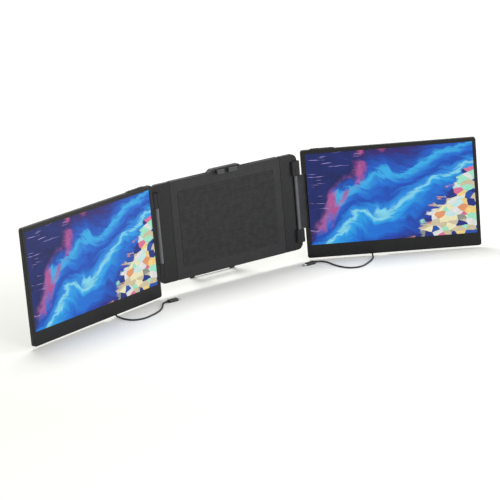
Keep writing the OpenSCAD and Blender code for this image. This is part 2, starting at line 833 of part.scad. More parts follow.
module laptop_plug(side) {
    tip = far_point(side, -far_body);
    color([0.12, 0.12, 0.12]) at_screen(side)
        translate([tip[0], tip[1], far_z]) rotate([0, 0, toe(side)])
            rotate([0, -90, 0]) rotate([0, 0, 90]) plug(far_body, far_relief);
}

// ---------- the nodes ----------

hub_front_cover();
hub_rear_cover();
lid_pad();
slide_rails();
clamp_guide();
clamp_springs();
hub_screws();
stand_bracket();
stand_pin();
clamp_bar();
clamp_fingers();
clamp_liners();
stand_frame();
stand_legs();
stand_feet();

for (side = sides) {
    wing_arm(side);
    wing_cover(side);
    grip_pads(side);
    wing_screws(side);
    wing_pin(side);
    wing_washers(side);
    link(side);
    screen_pin(side);
    front_bezel(side);
    display_panel(side);
    backlight(side);
    rear_cover(side);
    hinge_bracket(side);
    main_board(side);
    usb_sockets(side);
    button_board(side);
    button(side, power_s, 4.5);
    button(side, menu_s, 5.5);
    screen_screws(side);
    cable(side);
    screen_plug(side);
    laptop_plug(side);
}
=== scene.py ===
# The looks of a screen extender: two portable screens on double hinges, carried
# by a housing with a sliding wing at each side, a sprung clamp on its top edge
# and a folding stand behind it.
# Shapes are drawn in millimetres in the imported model's frame (+X to the user's
# right, -Y towards the user, +Z up) and set down in metres.
import json
import math

import bmesh
import bpy
from mathutils import Matrix, Vector


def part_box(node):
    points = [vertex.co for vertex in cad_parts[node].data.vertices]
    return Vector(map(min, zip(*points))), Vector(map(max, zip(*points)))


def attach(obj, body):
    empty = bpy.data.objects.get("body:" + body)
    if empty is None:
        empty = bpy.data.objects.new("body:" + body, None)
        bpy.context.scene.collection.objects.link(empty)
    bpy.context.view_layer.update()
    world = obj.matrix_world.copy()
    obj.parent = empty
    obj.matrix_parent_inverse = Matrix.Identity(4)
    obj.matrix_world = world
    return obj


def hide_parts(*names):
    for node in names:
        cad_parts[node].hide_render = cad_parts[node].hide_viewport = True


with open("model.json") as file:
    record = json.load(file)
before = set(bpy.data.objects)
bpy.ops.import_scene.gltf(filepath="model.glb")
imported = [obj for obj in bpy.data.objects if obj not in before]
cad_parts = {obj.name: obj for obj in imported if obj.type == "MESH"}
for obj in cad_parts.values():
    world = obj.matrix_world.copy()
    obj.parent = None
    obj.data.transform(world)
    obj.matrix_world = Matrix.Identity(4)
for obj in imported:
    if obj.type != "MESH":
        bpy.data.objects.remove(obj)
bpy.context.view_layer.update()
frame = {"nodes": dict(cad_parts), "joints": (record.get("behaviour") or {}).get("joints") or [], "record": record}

MM = 0.001
SIDES = ("left", "right")
METRES = Matrix.Scale(MM, 4)
PINS = {j["name"]: Vector(j["pos_m"]) for j in frame["joints"] if j.get("pos_m")}

# ---------- sizes, in millimetres ----------

FLOOR_Z = -127

# screens, from their own hinge pin: along the screen, back, up; TOE is in degrees
TOE = {"left": 16.6, "right": 34.8}
EDGE_IN = {"left": -3, "right": -6}
EDGE_OUT = 343
SCREEN_BOTTOM, SCREEN_TOP = -121.2, 100.3
PICTURE_IN, PICTURE_W, PICTURE_H = 4, 332, 186.8
PICTURE_BOTTOM = -94.5
PICTURE_TOP = PICTURE_BOTTOM + PICTURE_H
HALF_T = 4.5
CORNER_R = 5
BEZEL_T = 1.3
SLOT_S, SLOT_TOP, SLOT_BOTTOM = 2.7, 52.5, -57.5
PORT_S, PORT_GAP = 124, 18
SOCKET_Y = 1.625
BAY_TOP = -96.1
SCREEN_SCREW_SPOTS = [(80, 96.4), (180, 96.4), (310, 96.4),
                      (40, -111.2), (200, -111.2), (310, -111.2)]
POD_H, POWER_S, MENU_S = 1.8, 26, 50

# cables: DROP leads down from a screen, and ROUTE lies on the floor
CABLE_D = 3.4
PLUG_T, PLUG_W = 5.6, 11.5
PLUG_BODY, PLUG_RELIEF = 14.6, 3.6
FAR_BODY, FAR_RELIEF = 20, 6
TIP_W, TIP_T, TIP_LEN = 8.3, 2.5, 6.4
PLUG_TOP = BAY_TOP - 0.1
FAR_Z = FLOOR_Z + PLUG_T / 2
FAR_AT = {"left": (8, -30), "right": (6, -26.5)}
DROP = [(124, 1.6, -116.8), (124, 0.95, -120), (124, -0.9, -122.8), (124, -3.65, -124.65),
        (124, -6.9, -125.3)]
ROUTE = {
    "left": [(126, -14, -125.3), (128.5, -22, -125.3), (129.5, -30, -125.3),
             (129.5, -38, -125.3), (127.5, -46, -125.3), (123, -53, -125.3),
             (116, -58, -125.3), (108, -60.5, -125.3), (99, -61, -125.3),
             (90, -60.5, -125.3), (81, -59.5, -125.3), (72, -58, -125.3),
             (63, -55.5, -125.3), (54.5, -51.5, -125.3), (46, -47, -125.3),
             (38, -41.5, -125.3), (30, -35, -125.2), (22, -29.5, -124.7)],
    "right": [(124.5, -15, -125.3), (123.5, -24, -125.3), (121.5, -33, -125.3),
              (119, -42, -125.3), (115.5, -51, -125.3), (111.5, -60, -125.3),
              (107, -69, -125.3), (101.5, -77, -125.3), (94, -83, -125.3),
              (85.5, -85, -125.3), (77, -84, -125.3), (69.5, -80.5, -125.3),
              (62.5, -75, -125.3), (56, -68.5, -125.3), (50.5, -61.5, -125.3),
              (45.5, -54, -125.3), (41, -46, -125.3), (37, -38, -125.3),
              (32.5, -30.5, -125.3), (26.5, -24.5, -125.2), (19, -21.3, -124.7)],
}


def mirror(side):
    """The left side is the right side's mirror image."""
    return Matrix.Scale(-1, 4, (1, 0, 0)) if side == "left" else Matrix.Identity(4)


def side_place(side):
    """Millimetres as on the right side, set down at either side."""
    return mirror(side) @ METRES


def screen_place(side):
    """Millimetres in a screen's own frame, set down where the screen stands."""
    pin = PINS[side + "_screen_hinge"]
    turn = Matrix.Rotation(-math.radians(TOE[side]), 4, "Z")
    return mirror(side) @ Matrix.Translation((abs(pin.x), pin.y, 0)) @ turn @ METRES


# ---------- camera ----------

# fitted to the photograph: millimetres for the lens, metres for the place
SENSOR_W, LENS = 36, 153.05
CAMERA_AT = (-2.1454418, -3.4177315, 0.9922847)
CAMERA_RIGHT = Vector((0.82735556, -0.55543075, -0.08354313))
CAMERA_UP = Vector((0.20929107, 0.16683072, 0.96351687))


def make_camera():
    """The photograph's viewpoint: from the user's left, a little above, and rolled a little."""
    data = bpy.data.cameras.new("camera")
    data.sensor_width, data.lens = SENSOR_W, LENS
    data.clip_start, data.clip_end = 0.1, 100
    camera = bpy.data.objects.new("camera", data)
    back = CAMERA_RIGHT.cross(CAMERA_UP)
    turn = Matrix((CAMERA_RIGHT, CAMERA_UP, back)).transposed().to_4x4()
    camera.matrix_world = Matrix.Translation(CAMERA_AT) @ turn
    bpy.context.scene.collection.objects.link(camera)
    bpy.context.scene.camera = camera


make_camera()


# ---------- materials ----------

# a Mix node's colour sockets, which have to be told by their place
MIX_A, MIX_B, MIX_RESULT = 6, 7, 2
# a noise's values seldom leave this range
NOISE_LOW, NOISE_HIGH = 0.3, 0.7
# millimetres from a wing hinge's axis: the painted highlight that makes the links' barrels paler
# ends just past the barrel's side, which is 4 mm out
GLEAM_PAINTED_TO, GLEAM_UNPAINTED_FROM = 4.1, 4.3


def rgba(code):
    """An sRGB hex colour as linear light."""
    parts = [int(code[i:i + 2], 16) / 255 for i in (1, 3, 5)]
    return (*[c / 12.92 if c <= 0.04045 else ((c + 0.055) / 1.055) ** 2.4 for c in parts], 1)


def node(tree, kind, inputs=None, stops=(), **settings):
    """Adds a node. inputs holds values or the sockets to link, stops a ramp's colours."""
    made = tree.nodes.new("ShaderNode" + kind)
    for name, value in settings.items():
        setattr(made, name, value)
    for name, value in (inputs or {}).items():
        if isinstance(value, bpy.types.NodeSocket):
            tree.links.new(value, made.inputs[name])
        else:
            made.inputs[name].default_value = value
    for i, (at, code) in enumerate(stops):
        ramp = made.color_ramp.elements
        stop = ramp[i] if i < len(ramp) else ramp.new(at)
        stop.position, stop.color = at, rgba(code)
    return made


def fresh(name, shader=None):
    """An empty material with a Principled shader. shader sets the shader's own sockets."""
    material = bpy.data.materials.new(name)
    material.use_nodes = True
    tree = material.node_tree
    tree.nodes.clear()
    body = node(tree, "BsdfPrincipled", shader)
    node(tree, "OutputMaterial", {"Surface": body.outputs["BSDF"]})
    return material, tree, body


def drifting(name, light, dark, rough, spread, drift_mm, grain_mm, depth_mm,
             stretch=(1, 1, 1), shader=None):
    """A surface whose colour and gloss drift a little over drift_mm, rough up or down by spread.
    Its grain is grain_mm wide and depth_mm deep, and can be stretched along each axis."""
    material, tree, body = fresh(name, shader)
    at = node(tree, "TexCoord").outputs["Object"]
    drift = node(tree, "TexNoise", {"Vector": at, "Scale": 1 / (drift_mm * MM), "Detail": 3})
    drift = drift.outputs["Fac"]
    colour = node(tree, "ValToRGB", {"Fac": drift}, stops=((0.35, dark), (0.65, light)))
    gloss = node(tree, "MapRange", {"Value": drift, "From Min": NOISE_LOW,
                                    "From Max": NOISE_HIGH, "To Min": rough + spread,
                                    "To Max": rough - spread})
    drawn = node(tree, "Mapping", {"Vector": at,
                                   "Scale": [1 / (grain_mm * MM * s) for s in stretch]})
    grain = node(tree, "TexNoise", {"Vector": drawn.outputs["Vector"], "Scale": 1, "Detail": 2})
    bump = node(tree, "Bump", {"Height": grain.outputs["Fac"], "Distance": depth_mm * MM,
                               "Strength": 0.5})
    for socket, source in (("Base Color", colour.outputs["Color"]),
                           ("Roughness", gloss.outputs["Result"]),
                           ("Normal", bump.outputs["Normal"])):
        tree.links.new(source, body.inputs[socket])
    return material


def moulded_abs(name, light, dark, rough, shine=0.3):
    """ABS from a spark-eroded mould: a dull, even dark grey. The real grain is 0.1 mm; it is
    drawn at 0.9 mm so that it shows."""
    return drifting(name, light, dark, rough, spread=0.05, drift_mm=14, grain_mm=0.9,
                    depth_mm=0.06, shader={"IOR": 1.53, "Specular IOR Level": shine})


def powder_coated_alloy():
    """Die-cast alloy under a dark powder coat: satin, with the coat's slight orange peel."""
    return drifting("powder coated alloy", "#202022", "#1b1b1d", 0.4, spread=0.06, drift_mm=9,
                    grain_mm=1.8, depth_mm=0.12,
                    shader={"IOR": 1.5, "Specular IOR Level": 0.25})


def anodised_aluminium():
    """Dark anodised aluminium, turned and brushed in fine level lines, which draw a lamp's gleam
    out upright. The barrels round the wing hinges are painted paler, a painted highlight."""
    material = drifting("anodised aluminium", "#2c2c2e", "#252527", 0.38, spread=0.05,
                        drift_mm=20, grain_mm=0.6, depth_mm=0.03, stretch=(40, 40, 1),
                        shader={"Metallic": 0.6, "Anisotropic": 0.85,
                                "Anisotropic Rotation": 0.25, "Specular IOR Level": 0.3})
    tree = material.node_tree
    body = tree.nodes["Principled BSDF"]
    brushed = body.inputs["Base Color"].links[0].from_socket
    axis = PINS["right_wing_hinge"]
    at = node(tree, "SeparateXYZ", {"Vector": node(tree, "TexCoord").outputs["Object"]}).outputs
    # both sides at once: x is taken without its sign
    across = node(tree, "Math", {0: at["X"]}, operation="ABSOLUTE").outputs[0]
    here = node(tree, "CombineXYZ", {"X": across, "Y": at["Y"]}).outputs[0]
    reach = node(tree, "VectorMath", {0: here, 1: (axis.x, axis.y, 0)}, operation="DISTANCE")
    # painted highlight: the colour turns paler on the barrels near each hinge axis, in place of a lamp's gleam
    painted_gleam = node(tree, "MapRange", {"Value": reach.outputs["Value"],
                                     "From Min": GLEAM_PAINTED_TO * MM, "From Max": GLEAM_UNPAINTED_FROM * MM,
                                     "To Min": 1, "To Max": 0})
    colour = node(tree, "Mix", {0: painted_gleam.outputs["Result"], MIX_A: brushed,
                                MIX_B: rgba("#606164")}, data_type="RGBA")
    tree.links.new(colour.outputs[MIX_RESULT], body.inputs["Base Color"])
    return material


def satin_aluminium():
    """Bead-blasted clear anodised aluminium: pale and soft."""
    return drifting("satin aluminium", "#b9babd", "#a9aaad", 0.34, spread=0.04, drift_mm=12,
                    grain_mm=0.8, depth_mm=0.03, shader={"Metallic": 1})


def turned_steel():
    """Turned stainless steel: bright, with fine rings round its length."""
    return drifting("turned steel", "#c3c3c5", "#b1b1b4", 0.24, spread=0.05, drift_mm=8,
                    grain_mm=0.5, depth_mm=0.03, stretch=(30, 30, 1), shader={"Metallic": 1})


def blackened_steel():
    """Black-oxide steel screws and washers: dark with an oily shine."""
    return drifting("blackened steel", "#3b3b3d", "#2b2b2d", 0.32, spread=0.06, drift_mm=3,
                    grain_mm=0.4, depth_mm=0.02, shader={"Metallic": 1})


def silicone_rubber():
    """Moulded black silicone: matt, with a faint sheen and a little dust."""
    return drifting("silicone rubber", "#1d1d1e", "#161617", 0.72, spread=0.06, drift_mm=11,
                    grain_mm=1.1, depth_mm=0.05, shader={"IOR": 1.41, "Sheen Weight": 0.08})


def cable_sheath():
    """Soft thermoplastic sheath: black and satin."""
    return drifting("thermoplastic sheath", "#1b1b1c", "#151516", 0.5, spread=0.06, drift_mm=7,
                    grain_mm=0.6, depth_mm=0.03, shader={"IOR": 1.5})


def plug_moulding():
    """Moulded thermoplastic grips of the plugs: black, finely grained."""
    return drifting("plug moulding", "#1f1f20", "#19191a", 0.46, spread=0.05, drift_mm=5,
                    grain_mm=0.5, depth_mm=0.03, shader={"IOR": 1.5})


def satin_polycarbonate():
    """Polycarbonate keys, polished a little by fingers: glossier than the shell round them."""
    return drifting("satin polycarbonate", "#303032", "#28282a", 0.28, spread=0.05, drift_mm=6,
                    grain_mm=0.6, depth_mm=0.02, shader={"IOR": 1.58})


def light_guide():
    """The white acrylic sheet behind the picture."""
    return drifting("acrylic light guide", "#f0f1f2", "#e6e8ea", 0.3, spread=0.04, drift_mm=30,
                    grain_mm=2, depth_mm=0.02, shader={"IOR": 1.49})


def circuit_board():
    """Glass-epoxy board under green solder mask, with paler copper lands about 5 mm apart."""
    land_pitch, mask_depth = 5, 0.05
    material, tree, body = fresh("solder mask", {"Roughness": 0.35, "IOR": 1.55})
    at = node(tree, "TexCoord").outputs["Object"]
    cells = node(tree, "TexVoronoi", {"Vector": at, "Scale": 1 / (land_pitch * MM)},
                 distance="MANHATTAN")
    runs = node(tree, "ValToRGB", {"Fac": cells.outputs["Distance"]},
                stops=((0.25, "#2f8a52"), (0.45, "#14582e")))
    bump = node(tree, "Bump", {"Height": cells.outputs["Distance"],
                               "Distance": mask_depth * MM})
    tree.links.new(runs.outputs["Color"], body.inputs["Base Color"])
    tree.links.new(bump.outputs["Normal"], body.inputs["Normal"])
    return material


# the picture's colours: the ribbons' run from its lower right to its upper left, and each
# facet picks one of the others
RIBBONS = ((0.0, "#131a5c"), (0.13, "#20267e"), (0.2, "#1444ae"), (0.28, "#0e6fd6"),
           (0.35, "#22a2ea"), (0.39, "#84d8ee"), (0.43, "#1c8ae2"), (0.52, "#0b4cb8"),
           (0.58, "#126cd4"), (0.66, "#34aeea"), (0.7, "#125cc6"), (0.78, "#183c9c"),
           (0.86, "#2e2374"), (0.93, "#141a5a"), (1.0, "#0b1446"))
FACETS = ((0.0, "#e4e4e0"), (0.15, "#efe8bd"), (0.28, "#1a2c80"), (0.4, "#d0c3a2"),
          (0.48, "#f2d284"), (0.55, "#e69a6c"), (0.61, "#c8e8e6"), (0.72, "#2450a8"),
          (0.8, "#9fe8c8"), (0.88, "#8f948c"), (0.95, "#dd7098"))
# the picture's directions: across the ribbons, towards the deep blue, towards the facets
ACROSS, TO_NIGHT, TO_FACETS = (-0.42, 0, 0.9), (-0.75, 0, 0.5), (0.62, 0, -0.72)


def lit_picture(side):
    """A lit panel under a matt film. It shows a plain pattern of its own: broad ribbons of
    colour that flow between a deep blue field and a corner of pale facets."""
    material, tree, body = fresh(side + " lit picture", {
        "Base Color": rgba("#050506"), "Roughness": 0.32, "Specular IOR Level": 0.25,
        "Emission Strength": 1.0})
    centre = screen_place(side) @ Vector((PICTURE_IN + PICTURE_W / 2, 0,
                                          PICTURE_BOTTOM + PICTURE_H / 2))
    turn = math.radians(TOE[side]) * (1 if side == "right" else -1)
    back = -(Matrix.Rotation(turn, 3, "Z") @ centre)
    # x runs along the picture and z up it, in metres from its centre
    flat = node(tree, "Mapping", {"Vector": node(tree, "TexCoord").outputs["Object"],
                                  "Rotation": (0, 0, turn), "Location": back})
    # from here on the picture's half height is 1
    unit = 1 / (PICTURE_H / 2 * MM)
    place = node(tree, "Mapping", {"Vector": flat.outputs["Vector"],
                                   "Scale": (unit, 0, unit)}).outputs["Vector"]

    def spot(source, scale, detail, rough=0.55, seed=0.0):
        """Soft noise at a place. seed moves it to another stretch of the same noise."""
        moved = node(tree, "VectorMath", {0: source, 1: (seed, 0, seed * 0.7)},
                     operation="ADD")
        return node(tree, "TexNoise", {"Vector": moved.outputs[0], "Scale": scale,
                                       "Detail": detail, "Roughness": rough})

    def bend(source, scale, amount, detail):
        """Shifts places by a slow noise, so that what is drawn there flows."""
        noise = spot(source, scale, detail)
        middle = node(tree, "VectorMath", {0: noise.outputs["Color"], 1: (0.5, 0.5, 0.5)},
                      operation="SUBTRACT")
        grown = node(tree, "VectorMath", {0: middle.outputs[0], "Scale": amount},
                     operation="SCALE")
        return node(tree, "VectorMath", {0: source, 1: grown.outputs[0]},
                    operation="ADD").outputs[0]

    def along(source, direction):
        """How far a place lies in a direction."""
        return node(tree, "VectorMath", {0: source, 1: direction},
                    operation="DOT_PRODUCT").outputs["Value"]

    def ramp(value, low, high, stops, how="EASE"):
        """A colour for each value between low and high."""
        part = node(tree, "MapRange", {"Value": value, "From Min": low, "From Max": high})
        made = node(tree, "ValToRGB", {"Fac": part.outputs["Result"]}, stops=stops)
        made.color_ramp.interpolation = how
        return made.outputs["Color"]

    def step(value, low, high):
        """0 below low, 1 above high."""
        return node(tree, "MapRange", {"Value": value, "From Min": low, "From Max": high},
                    interpolation_type="SMOOTHSTEP").outputs["Result"]

    def maths(how, a, b):
        """A sum, difference or product."""
        return node(tree, "Math", {0: a, 1: b}, operation=how).outputs[0]

    def over(share, below, above):
        """One colour laid over another by a share."""
        return node(tree, "Mix", {0: share, MIX_A: below, MIX_B: above},
                    data_type="RGBA").outputs[MIX_RESULT]

    def stretched(source, turn_deg, scale):
        """Places turned in the picture's plane and scaled, so that a noise there is drawn out."""
        return node(tree, "Mapping", {"Vector": source, "Scale": scale,
                                      "Rotation": (0, math.radians(turn_deg), 0)}
                    ).outputs["Vector"]

    # broad ribbons that rise from left to right, each with silky strands along it
    flow = bend(bend(place, 0.55, 1.5, 1), 1.7, 0.5, 3)
    across = along(flow, ACROSS)
    strands = spot(stretched(flow, 25, (0.9, 1, 11)), 1, 4, 0.6).outputs["Fac"]
    height = maths("ADD", across, maths("MULTIPLY", maths("SUBTRACT", strands, 0.5), 0.42))
    ribbons = ramp(height, -1.15, 1.15, RIBBONS)
    # a deep blue field at the upper left, with thin pale dashes that lie along the ribbons
    deep_at = maths("ADD", along(flow, TO_NIGHT),
                    maths("MULTIPLY", spot(place, 2.2, 3, seed=7.3).outputs["Fac"], 0.5))
    night = over(spot(flow, 3, 3, seed=3.1).outputs["Fac"],
                 rgba("#080d38"), rgba("#162c84"))
    dashes = spot(stretched(bend(place, 1.2, 0.16, 2), 28, (2.2, 1, 34)), 1, 2, 0.5, 5.7)
    night = over(step(dashes.outputs["Fac"], 0.62, 0.72), night, rgba("#b9a6e6"))
    picture = over(step(deep_at, 1.05, 1.25), ribbons, night)
    # rose and violet where the field meets the ribbons
    seam = maths("MULTIPLY", step(deep_at, 0.84, 1.0),
                 maths("SUBTRACT", 1, step(deep_at, 1.08, 1.3)))
    seam = maths("MULTIPLY", seam,
                 step(spot(flow, 2.4, 4, seed=1.9).outputs["Fac"], 0.44, 0.6))
    rose = over(spot(flow, 5, 3, seed=9.1).outputs["Fac"], rgba("#5b3597"), rgba("#f0688f"))
    picture = over(seam, picture, rose)
    # facets at the lower right: flat cells of pale colours with some deep blue among them
    facets = node(tree, "TexVoronoi", {
        "Vector": stretched(bend(place, 3, 0.12, 2), -20, (5.2, 1, 8.5)), "Scale": 1})
    pick = node(tree, "SeparateColor", {"Color": facets.outputs["Color"]}).outputs[0]
    cells = ramp(pick, 0, 1, FACETS, "CONSTANT")
    pale_at = maths("ADD", along(flow, TO_FACETS),
                    maths("MULTIPLY", spot(stretched(place, 25, (1, 1, 3)), 2.6, 4, seed=4.4)
                          .outputs["Fac"], 0.7))
    picture = over(step(pale_at, 1.1, 1.2), picture, cells)
    # the faintest brush grain over all of it
    grain = spot(stretched(flow, 25, (6, 1, 40)), 1, 3, 0.6, 2.2).outputs["Fac"]
    shade = node(tree, "MapRange", {"Value": grain, "From Min": NOISE_LOW,
                                    "From Max": NOISE_HIGH, "To Min": 0.8, "To Max": 1.04})
    lit = node(tree, "VectorMath", {0: picture, "Scale": shade.outputs["Result"]},
               operation="SCALE")
    tree.links.new(lit.outputs[0], body.inputs["Emission Color"])
    return material


FINISHES = {
    "housing_plastic": moulded_abs("moulded ABS housing", "#212123", "#1c1c1e", rough=0.5),
    "bezel_plastic": moulded_abs("moulded ABS bezel", "#1b1b1c", "#171718", rough=0.36,
                                 shine=0.22),
    "clamp_plastic": moulded_abs("moulded ABS clamp", "#343436", "#2d2d2f", rough=0.4),
    "finger_plastic": moulded_abs("moulded ABS fingers", "#444547", "#3a3b3d", rough=0.38),
    "arm_metal": powder_coated_alloy(),
    "link_metal": anodised_aluminium(),
    "stand_metal": powder_coated_alloy(),
    "leg_metal": satin_aluminium(),
    "pin_steel": turned_steel(),
    "screw_steel": blackened_steel(),
    "soft_rubber": silicone_rubber(),
    "cable_sheath": cable_sheath(),
    "plug_moulding": plug_moulding(),
    "key_plastic": satin_polycarbonate(),
    "light_box": light_guide(),
    "circuit_board": circuit_board(),
}


# ---------- shapes ----------

CREASE = 0.6        # radians: an edge that turns by more is a corner of a rim
CORNER_DEG = 50     # degrees: an edge that turns by more is rounded by soften()
SMOOTH_DEG = 38     # degrees: an edge that turns by less is shaded smooth
FLAT_DEG = 0.5      # degrees: an edge that turns by less lies within a flat face
WELD = 0.002        # points as near as this are one


def block(bm, low, high):
    """A box between two corners."""
    low, high = Vector(low), Vector(high)
    size = Matrix.Diagonal((*(high - low), 1))
    bmesh.ops.create_cube(bm, size=1, matrix=Matrix.Translation((low + high) / 2) @ size)


def rod(bm, start, end, r0, r1=None, sides=32):
    """A round bar, or a cone, from one point to another."""
    start, end = Vector(start), Vector(end)
    turn = (end - start).to_track_quat("Z", "Y").to_matrix().to_4x4()
    bmesh.ops.create_cone(
        bm, cap_ends=True, segments=sides, radius1=r0, radius2=r0 if r1 is None else r1,
        depth=(end - start).length, matrix=Matrix.Translation((start + end) / 2) @ turn)


def bevel(bm, geom, width, segments=3, affect="EDGES"):
    """Rounds edges or corners by a width, or slopes them where there is one segment."""
    bmesh.ops.bevel(bm, geom=geom, offset=width, offset_type="OFFSET", affect=affect,
                    segments=segments, profile=0.5, material=-1, clamp_overlap=False)


def plate(bm, outline, y0, y1, holes=()):
    """A flat plate from depth y0 back to y1. Its outline and its holes are (x, z) points, and
    a third number rounds that corner."""
    loops = bmesh.new()
    for points in (outline, *holes):
        face = bmesh.new()
        corners = [face.verts.new((p[0], y0, p[1])) for p in points]
        face.faces.new(corners)
        for radius in sorted({p[2] for p in points if len(p) > 2}):
            bevel(face, [v for v, p in zip(corners, points) if len(p) > 2 and p[2] == radius],
                  radius, 8, "VERTICES")
        bmesh.ops.delete(face, geom=face.faces[:], context="FACES_ONLY")
        add(loops, face)
    bmesh.ops.triangle_fill(loops, edges=loops.edges[:], use_beauty=True, use_dissolve=True)
    grown = bmesh.ops.extrude_face_region(loops, geom=loops.faces[:])
    bmesh.ops.translate(loops, vec=(0, y1 - y0, 0),
                        verts=[g for g in grown["geom"] if isinstance(g, bmesh.types.BMVert)])
    bmesh.ops.recalc_face_normals(loops, faces=loops.faces[:])
    add(bm, loops)


def add(bm, other, place=None):
    """Adds another shape to this one and lets the other go."""
    if place is not None:
        other.transform(place)
    held = bpy.data.meshes.new("held")
    other.to_mesh(held)
    other.free()
    bm.from_mesh(held)
    bpy.data.meshes.remove(held)


def cut(bm, tools):
    """What is left of a shape when the tools' space is taken out of it."""
    held = []
    for shape, name in ((bm, "cut shape"), (tools, "cut tools")):
        mesh = bpy.data.meshes.new(name)
        shape.to_mesh(mesh)
        shape.free()
        held.append(bpy.data.objects.new(name, mesh))
        bpy.context.scene.collection.objects.link(held[-1])
    made = held[0].modifiers.new("cut", "BOOLEAN")
    made.operation, made.solver, made.use_self, made.object = "DIFFERENCE", "EXACT", True, held[1]
    whole = held[0].evaluated_get(bpy.context.evaluated_depsgraph_get())
    left = bmesh.new()
    left.from_mesh(whole.to_mesh())
    whole.to_mesh_clear()
    for obj in held:
        mesh = obj.data
        bpy.data.objects.remove(obj)
        bpy.data.meshes.remove(mesh)
    return left


def rim(bm, y, inner=None):
    """The sharp edges that lie at one depth. With inner, only those within that box."""
    found = [e for e in bm.edges if len(e.link_faces) == 2 and e.calc_face_angle(0) > CREASE
             and all(abs(v.co.y - y) < 0.01 for v in e.verts)]
    if inner is None:
        return found
    (x0, z0), (x1, z1) = inner
    return [e for e in found if all(x0 < v.co.x < x1 and z0 < v.co.z < z1 for v in e.verts)]


def copied(name):
    """A node's own shape in millimetres, with its loose triangles joined."""
    bm = bmesh.new()
    bm.from_mesh(frame["nodes"][name].data)
    bm.transform(Matrix.Scale(1 / MM, 4))
    bmesh.ops.remove_doubles(bm, verts=bm.verts[:], dist=WELD)
    bmesh.ops.dissolve_limit(bm, angle_limit=math.radians(FLAT_DEG), verts=bm.verts[:],
                             edges=bm.edges[:])
    return bm


def soften(bm, width, segments=2):
    """Rounds a shape's sharp outward edges, except those too short for the width."""
    edges = [e for e in bm.edges if len(e.link_faces) == 2 and e.is_convex
             and e.calc_face_angle(0) > math.radians(CORNER_DEG)
             and e.calc_length() > 1.5 * width]
    bevel(bm, edges, width, segments)


def piece(bm, name, body, slot, replaces=(), place=METRES):
    """Finishes a shape as a piece that rides on a body and stands for the nodes it replaces."""
    bm.transform(place)
    if place.determinant() < 0:
        bmesh.ops.reverse_faces(bm, faces=bm.faces[:])
    mesh = bpy.data.meshes.new(name)
    bm.to_mesh(mesh)
    bm.free()
    mesh.materials.append(FINISHES[slot])
    mesh.shade_smooth()
    mesh.set_sharp_from_angle(angle=math.radians(SMOOTH_DEG))
    obj = bpy.data.objects.new(name, mesh)
    bpy.context.scene.collection.objects.link(obj)
    obj.modifiers.new("even shading", "WEIGHTED_NORMAL").keep_sharp = True
    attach(obj, body)
    if replaces:
        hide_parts(*replaces)
    return obj


def box_plate(x0, z0, x1, z1, r=0):
    """A rectangle's corners, rounded by r, as plate() takes them."""
    points = ((x0, z0), (x1, z0), (x1, z1), (x0, z1))
    return [(x, z, r) if r else (x, z) for x, z in points]


def centred(half_w, half_t, r=0):
    """A rectangle round the middle, as plate() takes it."""
    return box_plate(-half_w, -half_t, half_w, half_t, r)


def flat_shell(half_w, half_t):
    """A centred rectangle whose short sides are all but half circles."""
    return centred(half_w, half_t, half_t - 0.01)


def span(name):
    """A node's box in millimetres."""
    low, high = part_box(name)
    return low / MM, high / MM


# ---------- cables ----------

def plug(body_len, relief_len):
    """A moulded plug that points up +Z, its mouth's plane at z = 0: grip and ribbed relief."""
    long_edge_r, end_edge_r = 2.2, 0.5
    groove_half, groove_r, groove_lift = 3.6, 0.7, 0.35
    rib_pitch, rib_wall, taper, neck = 1.5, 0.8, 0.5, 0.22
    bm = bmesh.new()
    block(bm, (-PLUG_W / 2, -PLUG_T / 2, -body_len), (PLUG_W / 2, PLUG_T / 2, 0))
    bevel(bm, [e for e in bm.edges if abs(e.verts[0].co.z - e.verts[1].co.z) > 1],
          long_edge_r, 5)
    bevel(bm, [e for e in bm.edges if e.calc_face_angle(0) > 1], end_edge_r, 3)
    # three shallow finger grooves across both flats
    tools = bmesh.new()
    for share in (0.42, 0.55, 0.68):
        for face in (-1, 1):
            y, z = face * (PLUG_T / 2 + groove_lift), -body_len * share
            rod(tools, (-groove_half, y, z), (groove_half, y, z), groove_r, sides=12)
    bm = cut(bm, tools)
    # the relief: ribs that taper away from the grip, with a thinner neck after each
    ribs = max(2, round(relief_len / rib_pitch))
    step = relief_len / ribs
    for k in range(ribs):
        top = -body_len - k * step
        wide = CABLE_D / 2 + rib_wall - taper * k / ribs
        rod(bm, (0, 0, top + 0.2), (0, 0, top - step * 0.62), wide, wide - 0.06, sides=24)
        rod(bm, (0, 0, top - step * 0.6), (0, 0, top - step), wide - neck, sides=24)
    return bm


def upright():
    """Turns a plate drawn in X-Z so that its depth points up +Z."""
    return Matrix.Rotation(math.radians(90), 4, "X") @ Matrix.Scale(-1, 4, (0, 0, 1))


def plug_tip():
    """The plug's plated tip: a flat shell with round sides, and the web that closes its foot."""
    wall, web_in, web_r, web_t = 0.4, 0.2, 0.9, 1
    bm = bmesh.new()
    plate(bm, flat_shell(TIP_W / 2, TIP_T / 2), 0, TIP_LEN,
          [flat_shell(TIP_W / 2 - wall, TIP_T / 2 - wall)])
    plate(bm, centred(TIP_W / 2 - web_in, TIP_T / 2 - web_in, web_r), 0, web_t)
    bm.transform(upright())
    bmesh.ops.recalc_face_normals(bm, faces=bm.faces[:])
    return bm


def smooth_line(points, steps=5):
    """A line through the points with no corners, as a Catmull-Rom spline draws it."""
    pts = [Vector(p) for p in points]
    pts = [2 * pts[0] - pts[1], *pts, 2 * pts[-1] - pts[-2]]
    line = []
    for a, b, c, d in zip(pts, pts[1:], pts[2:], pts[3:]):
        for k in range(steps):
            t = k / steps
            line.append(0.5 * (2 * b + (c - a) * t + (2 * a - 5 * b + 4 * c - d) * t * t
                               + (3 * b - a - 3 * c + d) * t ** 3))
    return [*line, pts[-2]]


